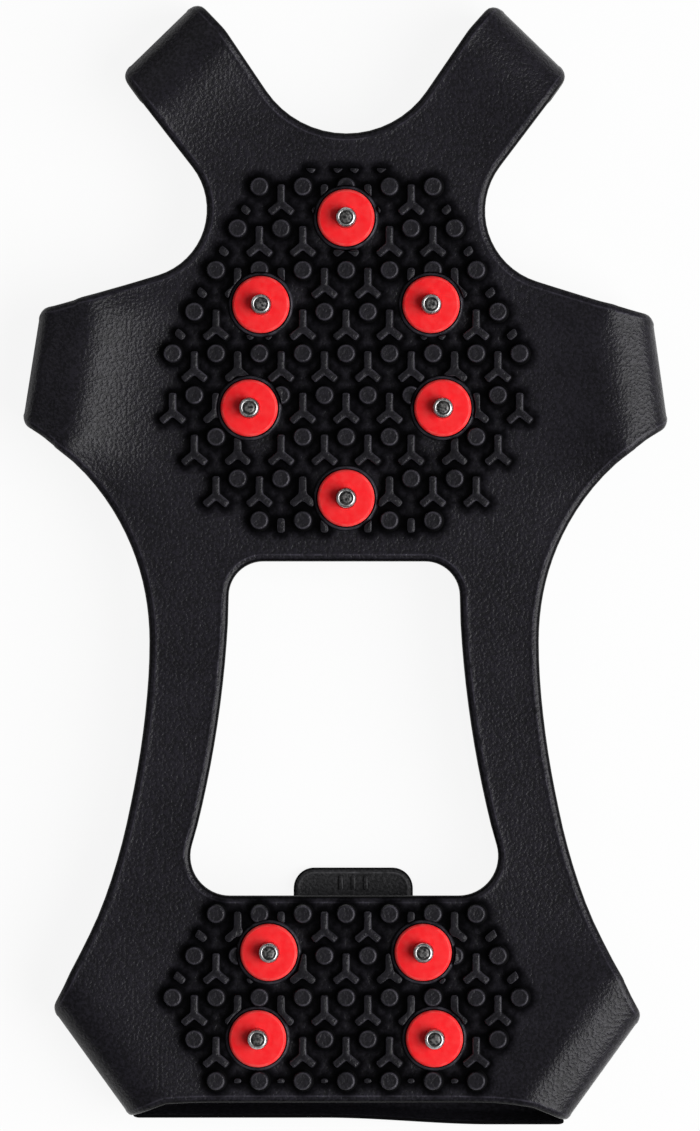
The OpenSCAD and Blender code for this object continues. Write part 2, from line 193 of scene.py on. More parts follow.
def smooth(t):
    t = max(0.0, min(1.0, t))
    return t * t * (3 - 2 * t)


def curve_at(knots, x):
    """Height at x of a smooth curve through knots, level at both ends."""
    if not knots[0][0] < x < knots[-1][0]:
        return 0.0
    k = next(i for i in range(1, len(knots)) if x <= knots[i][0])
    (x0, h0), (x1, h1) = knots[k - 1], knots[k]
    before, after = knots[max(k - 2, 0)], knots[min(k + 1, len(knots) - 1)]
    m0 = (h1 - before[1]) / (x1 - before[0]) if k > 1 else 0.0
    m1 = (after[1] - h0) / (after[0] - x0) if k + 1 < len(knots) else 0.0
    t, w = (x - x0) / (x1 - x0), x1 - x0
    return h0 + (h1 - h0) * smooth(t) + w * t * (1 - t) * (m0 * (1 - t) - m1 * t)


def finished(bm, name):
    """Object made from a mesh in progress, shaded smooth."""
    mesh = bpy.data.meshes.new(name)
    bm.normal_update()
    bm.to_mesh(mesh)
    bm.free()
    mesh.polygons.foreach_set("use_smooth", [True] * len(mesh.polygons))
    obj = bpy.data.objects.new(name, mesh)
    bpy.context.scene.collection.objects.link(obj)
    return obj


def rim_section(rim, bead, half):
    """Depths and heights across an edge: a flat face, a low bead, a round edge, and back below."""
    turns = [math.radians(a) for a in (0, 22, 45, 68, 90)]
    top = half + bead / 2
    edge = [(rim * (1 - math.sin(t)), top - (rim + bead / 2) * (1 - math.cos(t))) for t in turns]
    face = [(1.3, 0), (0.9, 0.15), (0.55, 0.85), (0.25, 1)]
    upper = [(rim + d, half + bead * h) for d, h in face] + edge
    return upper + [(d, -h) for d, h in reversed(upper)]


def joined(bm, lower, upper):
    """Faces of a wall between two rings that run to the left round it."""
    for i in range(len(lower)):
        bm.faces.new((upper[i - 1], lower[i - 1], lower[i], upper[i]))


def mark_layers(bm):
    """Marks on the points of a mesh: edges painted paler, partly wear and partly painted highlight, and
    places given painted shade.
    """
    layers = bm.verts.layers.float
    return [layers.get(name) or layers.new(name) for name in ("edge", "painted_shade")]


def search_tree(points):
    """Tree that finds the nearest of some flat points."""
    tree = KDTree(len(points))
    for i, p in enumerate(points):
        tree.insert((p.x, p.y, 0), i)
    tree.balance()
    return tree


bead_band = (0.2, 0.5)
dark_rim = 0.3
rim_clearance = 0.9
least_triangle = 1e-4


def moulded_sheet(name, loops, inner, thickness, rim, bead, place, slack=None):
    """Sheet with rounded edges. The first loop runs round it to the left, the rest round holes."""
    bm = bmesh.new()
    edge_mark, painted_shade_mark = mark_layers(bm)
    section = rim_section(rim, bead, thickness / 2)
    borders = []
    for loop in loops:
        rings = []
        for depth, h in section:
            ring = [bm.verts.new(place(p, h)) for p in inset(loop, depth, slack)]
            for v in ring:
                # The bead is painted paler, as wear and painted highlight; the outermost, nearly upright
                # part of the rim gets painted shade.
                v[edge_mark] = 1.0 if rim + bead_band[0] < depth < rim + bead_band[1] else 0.0
                v[painted_shade_mark] = 1.0 if depth < dark_rim * rim else 0.0
            rings.append(ring)
        for upper, lower in zip(rings, rings[1:]):
            joined(bm, lower, upper)
        borders.append((inset(loop, section[0][0], slack), rings[0], rings[-1]))
    flat = [p for border, _, _ in borders for p in border]
    near = search_tree(flat)
    sides, start = [], 0
    for border, _, _ in borders:
        n = len(border)
        sides += [(start + i, start + (i + 1) % n) for i in range(n)]
        start += n
    outside, holes = borders[0][0], [b[0] for b in borders[1:]]
    inner = [p for p in inner if near.find((p.x, p.y, 0))[2] > rim_clearance]
    inner = [p for p in inner if within(p, outside)]
    inner = [p for p in inner if not any(within(p, hole) for hole in holes)]
    made = delaunay_2d_cdt(flat + inner, sides, [], 0, 1e-6)
    came_from = [ids[0] if ids else -1 for ids in made[3]]
    upper = [v for _, ring, _ in borders for v in ring]
    lower = [v for _, _, ring in borders for v in ring]
    upper += [bm.verts.new(place(p, thickness / 2)) for p in inner]
    lower += [bm.verts.new(place(p, -thickness / 2)) for p in inner]
    for face in made[2]:
        middle = sum((made[0][i] for i in face), Vector((0, 0))) / 3
        if not within(middle, outside) or any(within(middle, hole) for hole in holes):
            continue
        if signed_area([made[0][i] for i in face]) < least_triangle:
            continue
        corners = [came_from[i] for i in face]
        bm.faces.new([upper[i] for i in corners])
        bm.faces.new([lower[i] for i in reversed(corners)])
    return finished(bm, name)


class Fold:
    """Line on which a strap turns under. Its own x runs along the fold, its y into the sole. It
    holds the sheet from before its start to after its end, and crown scales its ridge. On a heel
    strap, trailing says which end leans back by drop from rear_y."""

    def __init__(self, a, b, before, after, crown, trailing=0, rear_y=0, drop=0):
        self.a, self.b = Vector(a), Vector(b)
        self.along = (self.b - self.a).normalized()
        self.length = (self.b - self.a).length
        self.before, self.after = before, after
        self.crown, self.trailing = crown, trailing
        self.rear_y, self.drop = rear_y, drop

    def local(self, p):
        d = p - self.a
        return d.dot(self.along), d.y * self.along.x - d.x * self.along.y

    def plan(self, x, y):
        inward = Vector((-self.along.y, self.along.x))
        return self.a + self.along * x + inward * y

    def holds(self, p):
        x, y = self.local(p)
        return y < fold_axis and -self.before < x < self.length + self.after

    def swell(self, x, y):
        """Rise over the plain fold: a ridge, steep outside it and easy towards the sole."""
        rise = curve_at(swell_section, y)
        reach = min(x + swell_fade, self.length + swell_fade - x)
        return rise and self.crown * rise * smooth(reach / swell_fade)

    def section(self, x, y):
        """Distance into the sole and height of the middle of the sheet, at y along it."""
        if y >= fold_axis:
            return y, sole_top - sheet_t / 2 + self.swell(x, y)
        turn = (fold_axis - y) / fold_mid_r
        if turn > math.pi:
            return fold_axis + (turn - math.pi) * fold_mid_r, fold_r - fold_mid_r
        lift = tail_lift * smooth((turn / math.pi - (1 - tail_lift_share)) / tail_lift_share)
        z = fold_r + fold_mid_r * math.cos(turn) + lift + self.swell(x, y)
        return fold_axis - fold_mid_r * math.sin(turn), z

    def tail_x(self, turn):
        """Where the rear edge of a heel roll lies, leaning back as it turns down."""
        y = fold_axis - fold_mid_r * math.sin(turn)
        level = self.rear_y - self.drop * math.sin(min(turn, math.pi / 2))
        inward_y = self.along.x
        return (level - self.a.y - y * inward_y) / self.along.y

    def span(self, turn, outline):
        """Both ends of the roll at an angle of turn, cut by the outline of the sole."""
        y = max(fold_axis - fold_r * math.sin(turn), least_fold_y)
        marks = [self.local(p) for p in outline]
        cuts = []
        for (x0, y0), (x1, y1) in zip(marks, marks[1:] + marks[:1]):
            if (y0 > y) != (y1 > y):
                x = x0 + (y - y0) * (x1 - x0) / (y1 - y0)
                if -self.before < x < self.length + self.after:
                    cuts.append(x)
        low, high = min(cuts), max(cuts)
        if self.trailing < 0:
            low = self.tail_x(turn)
        if self.trailing > 0:
            high = self.tail_x(turn)
        return low, high


class Half:
    """One half of the sole, drawn as the right one. The two don't lie quite alike."""

    def __init__(self, toe, notch, side, waist_x, heel, tail_y, drop, crowns):
        toe_inner, toe_tip, toe_corner = toe
        side_bend, side_front, side_rear = side
        heel_corner, heel_tail = heel
        self.waist = (waist_x, waist_y)
        self.heel_corner, self.heel_tail = heel_corner, heel_tail
        toe_fold = Fold(toe_corner, toe_tip, before=16, after=6, crown=crowns[0])
        side_fold = Fold(side_rear, side_front, before=30, after=14, crown=crowns[1])
        heel_lie = {"trailing": -1, "rear_y": tail_y, "drop": drop}
        heel_fold = Fold(heel_tail, heel_corner, before=16, after=16, crown=crowns[2], **heel_lie)
        self.folds = [toe_fold, side_fold, heel_fold]
        tail = heel_fold.plan(heel_fold.tail_x(0), fold_axis)
        side_arc = (self.waist, side_rear, side_rear[1], waist_y)
        heel_arc = (self.waist, heel_corner, waist_y, heel_corner[1])
        self.corners = [
            (*toe_inner, toe_root_r),
            (*toe_tip, strap_corner_r),
            (*toe_corner, strap_corner_r),
            notch,
            (*side_bend, side_bend_r),
            (*side_front, strap_corner_r),
            (*side_rear, strap_corner_r),
            *arc_stations(*side_arc, count=18, lean=side_lean),
            self.waist,
            *arc_stations(*heel_arc, count=20, lean=heel_lean),
            (*heel_corner, strap_corner_r),
            heel_tail,
            *[
                (tail.x - rear_blend_x * t, heel_rear_y + (tail_y - heel_rear_y) * (1 - t) ** 2)
                for t in (0.15, 0.3, 0.5, 0.75, 1)
            ],
        ]


right = Half(
    toe=((29.5, 128.3), (35.5, 135.1), (53.7, 117.5)),
    notch=(21.9, 75.5, 17.7),
    side=((62, 62.7), (73.6, 60.1), (77.5, 32.6)),
    waist_x=46.3,
    heel=((71.5, -108.3), (53.6, -133.1)),
    tail_y=-130.3,
    drop=3.0,
    crowns=(0.6, 1.0, 0.95),
)
left = Half(
    toe=((29.1, 128.3), (35.8, 135.4), (54.2, 117.5)),
    notch=(22.2, 76.4, 16.5),
    side=((64, 63.6), (73.3, 61.7), (77.8, 33.3)),
    waist_x=47.2,
    heel=((71.0, -106.6), (52.4, -132.4)),
    tail_y=-129.7,
    drop=2.7,
    crowns=(0.8, 1.45, 0.15),
)
folds = right.folds + [
    Fold(flipped(f.b), flipped(f.a), f.after, f.before, f.crown, -f.trailing, f.rear_y, f.drop)
    for f in left.folds
]
sole_outline = rounded([toe_gap] + right.corners + mirrored(left.corners))[::-1]
half_window = [
    window_front,
    *arc_stations(window_front, window_rear, *window_side, count=12),
    window_rear,
]
window_outline = rounded(half_window + mirrored(half_window))
window_outline = [p + Vector((window_shift, 0)) for p in window_outline]


def roll_ends(fold, turn, outline):
    """Both ends of a roll, drawn in where its tail is moulded into the ring."""
    low, high = fold.span(min(turn, tail_start), outline)
    slip = tail_taper * smooth((turn - tail_start) / (tail_end - tail_start))
    return low + slip, high - slip


def unrolled(outline):
    """Outline of the sheet before its straps are rolled, and rows of points along the rolls."""
    loop, rows = [], []
    turns = [math.pi * i / roll_steps for i in range(roll_steps + 2)]
    owners = [next((f for f in folds if f.holds(p)), None) for p in outline]
    for i, p in enumerate(outline):
        if owners[i] is None:
            loop.append(p)
        elif owners[i - 1] is not owners[i]:
            fold = owners[i]
            spans = [roll_ends(fold, t, outline) for t in turns + [tail_end]]
            ys = [fold_axis - t * fold_mid_r for t in turns + [tail_end]]
            first = [fold.plan(s[0], y) for s, y in zip(spans, ys)]
            last = [fold.plan(s[1], y) for s, y in zip(spans, ys)]
            loop += first[:-1] + rounding(first[-2], first[-1], last[-1], tail_corner_r)
            loop += rounding(first[-1], last[-1], last[-2], tail_corner_r) + last[-2::-1]
            for (low, high), y in zip(spans[:-1], ys):
                n = max(2, round((high - low) / roll_row_step))
                rows += [fold.plan(low + (high - low) * k / n, y) for k in range(1, n)]
    return loop, rows


def strap_crown(p):
    """Rise of the sheet where a strap swells before it rolls under."""
    return sum(fold.swell(*fold.local(p)) for fold in folds)


probe = 0.1


def lay_sole(p, h):
    """Point of the unrolled sheet, h above its middle, put where the folded sheet has it."""
    for fold in folds:
        if fold.holds(p):
            x, y = fold.local(p)
            ends = [Vector(fold.section(x, y + d)) for d in (-probe / 2, probe / 2)]
            run = (ends[1] - ends[0]).normalized()
            y, z = (ends[0] + ends[1]) / 2 + h * Vector((-run.y, run.x))
            q = fold.plan(x, y)
            return q.x * MM, q.y * MM, z * MM
    rise = strap_crown(p)
    ahead = Vector((strap_crown(p + Vector((probe, 0))), strap_crown(p + Vector((0, probe)))))
    up = Vector(((rise - ahead.x) / probe, (rise - ahead.y) / probe, 1)).normalized() * h
    return (p.x + up.x) * MM, (p.y + up.y) * MM, (sole_top - sheet_t / 2 + rise + up.z) * MM


def tail_slack(p):
    """The edge is finer on the hidden tail of a roll."""
    for fold in folds:
        if fold.holds(p):
            turn = (fold_axis - fold.local(p)[1]) / fold_mid_r
            return 1 - tail_rim_cut * smooth((turn - tail_start + tail_rim_run) / tail_rim_run)
    return 1


sole_loop, roll_rows = unrolled(sole_outline)


row_share = 0.87
open_step = 4
tread_step = 1.3
sole_reach = (80, 136)
tread_x = 54
fore_tread_y = (4, 101)
heel_tread_y = (-130, -81)
border_step = 1.1


def staggered(step, x_reach, low, high):
    """Points on a grid of triangles."""
    rows = range(math.ceil(low / step / row_share), math.floor(high / step / row_share) + 1)
    across = range(-math.floor(x_reach / step), math.floor(x_reach / step) + 1)
    return [
        Vector(((i + 0.5 * (j % 2)) * step, j * step * row_share)) for i in across for j in rows
    ]


def under_tread(p):
    """True where the grid is fine, for the soft edges of the black floor between pegs."""
    on_pad = fore_tread_y[0] < p.y < fore_tread_y[1] or p.y < heel_tread_y[1]
    return on_pad and abs(p.x) < tread_x


open_grid = staggered(open_step, sole_reach[0], -sole_reach[1], sole_reach[1])
tread_grid = staggered(tread_step, tread_x, heel_tread_y[0], fore_tread_y[1])
sole_grid = [p for p in open_grid if not under_tread(p)]
sole_grid += [p for p in tread_grid if under_tread(p)]
sole_grid = [p for p in sole_grid if not any(f.holds(p) for f in folds)]
sole_sheet = moulded_sheet(
    "sole_sheet",
    [evenly(sole_loop, border_step), evenly(window_outline, border_step)],
    roll_rows + sole_grid,
    sheet_t,
    sheet_rim_r,
    sheet_bead,
    lay_sole,
    tail_slack,
)


def new_group(name, inputs, outputs):
    """Shader node group with named sockets; each input comes with its usual value."""
    group = bpy.data.node_groups.new(name, "ShaderNodeTree")
    for label, value in inputs.items():
        socket = group.interface.new_socket(label, in_out="INPUT", socket_type="NodeSocketFloat")
        socket.default_value = value
    for label in outputs:
        group.interface.new_socket(label, in_out="OUTPUT", socket_type="NodeSocketFloat")
    return group, group.nodes.new("NodeGroupInput"), group.nodes.new("NodeGroupOutput")


def fill(tree, node, links):
    """Gives input sockets of a node, by name or number, a source or a value."""
    for socket, source in links.items():
        if isinstance(source, bpy.types.NodeSocket):
            tree.links.new(source, node.inputs[socket])
        else:
            node.inputs[socket].default_value = source


def add(tree, kind, links=None, **settings):
    """Node with its settings and its sockets filled."""
    node = tree.nodes.new(kind)
    for label, value in settings.items():
        setattr(node, label, value)
    fill(tree, node, links or {})
    return node


def math_node(tree, operation, a, b=0.0):
    return add(tree, "ShaderNodeMath", {0: a, 1: b}, operation=operation).outputs[0]


def ramp_node(tree, value, low, high, to_low=0.0, to_high=1.0):
    ends = {"Value": value, 1: low, 2: high, 3: to_low, 4: to_high}
    return add(tree, "ShaderNodeMapRange", ends).outputs[0]


def mix_node(tree, factor, a, b):
    """Colour between two others, each given as a linear triple or a socket."""
    ends = [c if isinstance(c, bpy.types.NodeSocket) else (*c, 1) for c in (a, b)]
    links = {"Factor": factor, "A": ends[0], "B": ends[1]}
    return add(tree, "ShaderNodeMix", links, data_type="RGBA").outputs["Result"]


def new_material(name):
    """Material with its node tree and its shader."""
    mat = bpy.data.materials.new(name)
    mat.use_nodes = True
    return mat, mat.node_tree, mat.node_tree.nodes["Principled BSDF"]


def bump_node(tree, height, depth, strength):
    links = {"Height": height, "Distance": depth, "Strength": strength}
    return add(tree, "ShaderNodeBump", links).outputs["Normal"]


def noise_node(tree, scale, detail, at=None):
    """Noise in the object's own coordinates, unless others are given."""
    if at is None:
        at = add(tree, "ShaderNodeTexCoord").outputs["Object"]
    links = {"Vector": at, "Scale": scale, "Detail": detail}
    return add(tree, "ShaderNodeTexNoise", links).outputs["Fac"]


# Mould grain, shared by all rubber pieces: a leathery grain over faint woven lines, with a fine
# tooth and slow blotches
line_share = 0.22
tooth_share = 0.5
grain, grain_in, grain_out = new_group(
    "mould_grain", {"Weave": 1.0}, ["Height", "Blotch", "Crest"]
)
leather = noise_node(grain, 1350, 1.5)
tooth = noise_node(grain, 3800, 1)
place = add(grain, "ShaderNodeTexCoord").outputs["Object"]
lines = add(
    grain,
    "ShaderNodeTexWave",
    {"Vector": place, "Scale": 273, "Distortion": 2.5, "Detail": 2, "Detail Scale": 3.0},
    bands_direction="X",
)
woven = math_node(grain, "MULTIPLY", lines.outputs["Fac"], grain_in.outputs["Weave"])
crest = ramp_node(grain, leather, 0.38, 0.64)
relief = math_node(grain, "ADD", crest, math_node(grain, "MULTIPLY", woven, line_share))
relief = math_node(grain, "ADD", relief, math_node(grain, "MULTIPLY", tooth, tooth_share))
blotch = noise_node(grain, 70, 4)
fill(grain, grain_out, {"Height": relief, "Blotch": blotch, "Crest": crest})

# Edges painted paler, shared by all rubber pieces: the marked edges, broken up by a fine noise. This is
# partly wear and partly painted highlight.
edge_wear_and_highlight, edge_wear_and_highlight_in, edge_wear_and_highlight_out = new_group("worn_and_highlighted_edge", {"Amount": 1.0}, ["Mask"])
edge = add(edge_wear_and_highlight, "ShaderNodeAttribute", attribute_name="edge").outputs["Fac"]
broken = ramp_node(edge_wear_and_highlight, noise_node(edge_wear_and_highlight, 420, 3), 0.3, 0.65)
worn = math_node(edge_wear_and_highlight, "MULTIPLY", edge, broken)
worn = math_node(edge_wear_and_highlight, "MULTIPLY", worn, edge_wear_and_highlight_in.outputs["Amount"])
fill(edge_wear_and_highlight, edge_wear_and_highlight_out, {"Mask": worn})


blotch_share = 0.35
crest_share = 0.75
wear_and_highlight_gain = 3.0
painted_shade_gain = 0.2
rubber_shine = 0.2
painted_shade_shine = 0.06


def rubber(name, dark, pale, rough, weave, wear_and_highlight, depth=0.000048, painted_shade_rough=0.8):
    """Black moulded rubber. Colours are linear; rough gives the lowest and highest roughness, and the last
    argument that of places with painted shade, which are painted blacker, lose their grain and shine less.
    Marked edges are painted paler, as wear and painted highlight."""
    mat, tree, shader = new_material(name)
    skin = add(tree, "ShaderNodeGroup", {"Weave": weave}, node_tree=grain)
    edges = add(tree, "ShaderNodeGroup", {"Amount": wear_and_highlight}, node_tree=edge_wear_and_highlight)
    painted_shade = add(tree, "ShaderNodeAttribute", attribute_name="painted_shade").outputs["Fac"]
    slow = ramp_node(tree, skin.outputs["Blotch"], 0.3, 0.7, 0.0, blotch_share)
    quick = ramp_node(tree, skin.outputs["Crest"], 0.0, 1.0, 0.0, crest_share)
    body = mix_node(tree, math_node(tree, "ADD", slow, quick), dark, pale)
    # Marked edges are painted paler: partly wear, partly painted highlight.
    body = mix_node(tree, edges.outputs["Mask"], body, [wear_and_highlight_gain * c for c in pale])
    gloss = ramp_node(tree, skin.outputs["Crest"], 0.0, 1.0, rough[1], rough[0])
    plain = math_node(tree, "SUBTRACT", 1.0, painted_shade)
    height = math_node(tree, "MULTIPLY", skin.outputs["Height"], plain)
    # Painted shade: marked places are painted near black, lose their grain and shine less.
    looks = {
        "Base Color": mix_node(tree, painted_shade, body, [painted_shade_gain * c for c in dark]),
        "Specular IOR Level": ramp_node(tree, painted_shade, 0.0, 1.0, rubber_shine, painted_shade_shine),
        "Roughness": ramp_node(tree, painted_shade, 0.0, 1.0, gloss, painted_shade_rough),
        "Normal": bump_node(tree, height, depth, strength=1.0),
    }
    fill(tree, shader, looks)
    return mat


sole_rubber = rubber(
    "sole_rubber",
    dark=(0.0045, 0.0042, 0.0056),
    pale=(0.0165, 0.0152, 0.0205),
    rough=(0.27, 0.37),
    weave=0.6,
    wear_and_highlight=0.9,
    painted_shade_rough=0.16,
)
sole_sheet.data.materials.append(sole_rubber)
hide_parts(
    "forefoot_pad",
    "heel_pad",
    *[
        f"{place}_{part}_{side}"
        for place, part in (
            ("waist", "strip"),
            ("toe", "strap"),
            ("side", "strap"),
            ("heel", "strap"),
            ("toe", "roll"),
            ("side", "roll"),
            ("heel", "roll"),
        )
        for side in ("left", "right")
    ],
)
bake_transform(sole_sheet, "upper_ring", "sole", start=(0, 0, 0.0036), end=(0, 0, 0.0145))


# Elastic ring. The toe band, side rails and heel band that hold the cleat round a shoe, moulded
# in one with the straps from the same rubber. It lies flat under the sole, and only the lip of
# its heel band shows.
ring_t = 3.5
ring_rim_r = 1.2
ring_bead = 0.1
ring_front_y = 68
ring_front_r = 33
band_w = 13
rail_inset = 2
rail_rear_y = -70
mouth_rear_y = -89
mouth_corner_r = 10
lobe_depth = 1.5
lobe_y = fold_axis - lobe_depth
lobe_corner_r = 3
toe_fillet = (24.4, 90.2, 5)
side_fillets = ((53, 5), (28.5, 6))
gap_inset = 0.4
gap_half_sine = 0.56
ring_step = 1.5
lip_bend_y = -127
lip_bend_r = 5
lip_bend = math.radians(75)
lip_edge_y = -138.9
lip_root_y = -131.5
lip_edge_t = 0.25
lip_end = ((1.6, 4.2, 2.5), (0.8, 0, 1.6))
lip_root_r = 2
lip_sway = (0.2, 1.6)
lip_sway_x = -5
lip_sway_w = 40
lip_sway_run = 6
lip_rim_cut = 0.6
lip_rim_run = 8
lip_row_step = 0.75


def rail_x(half, y):
    """Outside of a side rail between the toe band and the waist."""
    end_x = half.waist[0] - rail_inset
    return ring_front_r + (end_x - ring_front_r) * (ring_front_y - y) / (ring_front_y - waist_y)


def band_arc(r, angles):
    """Points of the toe band at radius r, at angles in degrees from the right."""
    return [(r * math.cos(a), ring_front_y + r * math.sin(a), 0) for a in map(math.radians, angles)]


def half_ring(half, outline):
    """Outside of the ring on one side: two strap returns, the rail and the heel band."""
    toe, side, heel = half.folds
    strap_turn = math.asin(lobe_depth / fold_r)
    toe_low, toe_high = toe.span(strap_turn, outline)
    side_low, side_high = side.span(strap_turn, outline)
    heel_top = heel.plan(heel.span(strap_turn, outline)[1], lobe_y)
    root_run = (lip_root_y - heel.a.y - lobe_y * heel.along.x) / heel.along.y
    lip_root = heel.plan(root_run, lobe_y)
    front, rear = [(rail_x(half, y), y, r) for y, r in side_fillets]
    rail_ys = (-27, -36, -45, -54, -62)
    rail_taper = waist_y - rail_rear_y
    heel_arc = (half.waist, half.heel_corner, rail_rear_y, heel_top.y)
    return [
        (*toe.plan(toe_high - 3 * gap_inset, lobe_y), lobe_corner_r),
        (*toe.plan(toe_low, lobe_y), lobe_corner_r),
        toe_fillet,
        *band_arc(ring_front_r, range(29, 4, -5)),
        front,
        (*side.plan(side_high, lobe_y), lobe_corner_r),
        (*side.plan(side_low, lobe_y), lobe_corner_r),
        rear,
        (half.waist[0] - rail_inset, waist_y, 0),
        *[
            (
                arc_half_width(half.waist, half.heel_corner, y)
                + curve_at(heel_lean, y)
                - rail_inset * (1 - (waist_y - y) / rail_taper),
                y,
                0,
            )
            for y in rail_ys
        ],
        *arc_stations(*heel_arc, count=8, margin=-0.05, lean=heel_lean),
        (*heel_top, lobe_corner_r),
        (*lip_root, lip_root_r),
        *[(half.heel_tail[0] - x, lip_edge_y + y, r) for x, y, r in lip_end],
    ]


seen_from_left = [Vector(p) for p in mirrored(sole_outline)]
gap_apex = (0, toe_gap[1] - gap_inset / gap_half_sine, toe_gap[2] + gap_inset)
ring_outline = rounded(
    [gap_apex] + half_ring(right, sole_outline) + mirrored(half_ring(left, seen_from_left))
)[::-1]
mouth_r = ring_front_r - band_w
mouth_arc = (window_front, window_rear, window_front[1] + 0.01, rail_rear_y)
mouth_rear_x = arc_half_width(window_front, window_rear, rail_rear_y) + rail_inset
half_mouth = [
    *band_arc(mouth_r, range(80, -1, -10)),
    *arc_stations(*mouth_arc, count=12, margin=rail_inset),
    (mouth_rear_x, mouth_rear_y, mouth_corner_r),
]
mouth_outline = rounded([(0, ring_front_y + mouth_r, 0)] + half_mouth + mirrored(half_mouth))


def lay_ring(p, h):
    """Flat on the floor, but the lip of the heel band thins out and turns up behind the heel."""
    run = lip_bend_y - p.y
    if run <= 0:
        return p.x * MM, p.y * MM, (ring_t / 2 + h) * MM
    h *= 1 - (1 - lip_edge_t) * smooth(run / (lip_bend_y - lip_edge_y))
    turn = min(run / lip_bend_r, lip_bend)
    rest = max(0.0, run - lip_bend_r * lip_bend)
    y = lip_bend_y - lip_bend_r * math.sin(turn) - rest * math.cos(turn) + h * math.sin(turn)
    z = lip_bend_r * (1 - math.cos(turn)) + rest * math.sin(turn) + h * math.cos(turn)
    sway = lip_sway[0] - lip_sway[1] * smooth((p.x - lip_sway_x) / lip_sway_w)
    y += sway * smooth(run / lip_sway_run)
    return p.x * MM, y * MM, (ring_t / 2 + z) * MM


def lip_slack(p):
    """The edge is finer on the thin lip."""
    return 1 - lip_rim_cut * smooth((lip_bend_y - p.y) / lip_rim_run)


lip_rows = [
    Vector((x, lip_bend_y - lip_row_step * i)) for i in range(15) for x in range(-51, 52, 3)
]
elastic_ring = moulded_sheet(
    "elastic_ring",
    [evenly(ring_outline, ring_step), evenly(mouth_outline, ring_step)],
    lip_rows,
    ring_t,
    ring_rim_r,
    ring_bead,
    lay_ring,
    lip_slack,
)
ring_rubber = rubber(
    "ring_rubber",
    dark=(0.0045, 0.0042, 0.0055),
    pale=(0.0165, 0.0153, 0.0200),
    rough=(0.36, 0.46),
    weave=0.7,
    wear_and_highlight=0.5,
)
elastic_ring.data.materials.append(ring_rubber)
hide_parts("toe_band", "side_rail_left", "side_rail_right", "heel_band")
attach(elastic_ring, "upper_ring")


# Heel pull tab. A tongue of the same rubber on the front edge of the heel band, for pulling the
# ring over a heel. It bends where it leaves the band. Three plain bars give it grip.
tab_w = 28.8
tab_tip_y = -73.4
tab_root_y = mouth_rear_y - 2.2
tab_t = 2.9
tab_lift = 0.1
tab_skew = 1.75
tab_skew_run = 10
tab_root_r = 3
tab_tip_r = 5
tab_rim_r = 0.9
tab_bead = 0.12
tab_step = 0.8
half_tab = [(tab_w / 2, tab_root_y, tab_root_r), (tab_w / 2, tab_tip_y, tab_tip_r)]
tab_outline = rounded(half_tab + mirrored(half_tab))
tab_rows = [Vector((x, tab_root_y + tab_step * i)) for i in range(1, 22) for x in range(-12, 13, 3)]


def tab_lean(y):
    """The loose end lies a little to the right of the root."""
    return tab_skew * smooth((y - tab_root_y) / tab_skew_run)


def lay_tab(p, h):
    return (p.x + tab_lean(p.y)) * MM, p.y * MM, (tab_lift + tab_t / 2 + h) * MM


pull_tab = moulded_sheet(
    "pull_tab_skin",
    [evenly(tab_outline, tab_step)],
    tab_rows,
    tab_t,
    tab_rim_r,
    tab_bead,
    lay_tab,
)
# Painted shade where pegs, ribs and bars meet the pad, and on the pad between them.
floor_shade = 0.95
foot_share = 0.3
foot_edge_h = 0.1


def foot_shade(h, top):
    """Share of painted shade at height h on a raised shape: its foot is painted as black as the floor round
    it.
    """
    if h > foot_share * top:
        return 0.0
    return floor_shade if h < foot_edge_h else 1.0


def raised(bm, loops, base, profile, wear_and_highlight_loops):
    """Closed raised shape of loops that run to the left. The base gives the height under a point, and the
    profile ends with the height of each loop over it. Its foot gets painted shade; the listed loops are
    painted paler, as wear and painted highlight, and are counted from 0."""
    edge_mark, painted_shade_mark = mark_layers(bm)
    rings = []
    for k, loop in enumerate(loops):
        h = profile[k][1]
        ring = [bm.verts.new((p.x * MM, p.y * MM, (base(p) + h) * MM)) for p in loop]
        for v in ring:
            v[edge_mark] = 1.0 if k in wear_and_highlight_loops else 0.0
            v[painted_shade_mark] = foot_shade(h, profile[-1][1])
        rings.append(ring)
    for lower, upper in zip(rings, rings[1:]):
        joined(bm, lower, upper)
    bm.faces.new(rings[-1])
    bm.faces.new(rings[0][::-1])


bar_half_w = 0.55
bar_rear_y = -78.8
bar_front_y = -75.2
bar_corner_r = 0.5
bar_profile = [(-0.1, -0.2), (0, 0.1), (0.08, 0.38), (0.25, 0.5)]
bm = bmesh.new()
for bar_x in (-3, 0, 3):
    low, high = bar_x + tab_skew - bar_half_w, bar_x + tab_skew + bar_half_w
    corners = ((low, bar_rear_y), (high, bar_rear_y), (high, bar_front_y), (low, bar_front_y))
    bar = rounded([(*c, bar_corner_r) for c in corners])
    loops = [inset(bar, depth) for depth, _ in bar_profile]
    # The bars' top edges are painted paler, as wear and painted highlight; their feet get painted shade.
    raised(bm, loops, lambda p: tab_lift + tab_t, bar_profile, wear_and_highlight_loops=(2,))
grip_bars = finished(bm, "tab_grip_bars")
# Painted light: the tab is the same rubber as the ring, painted paler so that it does not look shaded beside
# the heel pad.
tab_rubber_painted_light = rubber(
    "tab_rubber_painted_light",
    dark=(0.0120, 0.0120, 0.0130),
    pale=(0.0400, 0.0395, 0.0425),
    rough=(0.36, 0.46),
    weave=0.3,
    wear_and_highlight=0.8,
)
for piece in (pull_tab, grip_bars):
    piece.data.materials.append(tab_rubber_painted_light)
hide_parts("heel_pull_tab")
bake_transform(pull_tab, "upper_ring", "pull_tab", start=(0, -0.0900, 0), end=(0, -0.0865, 0))
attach(grip_bars, "pull_tab")


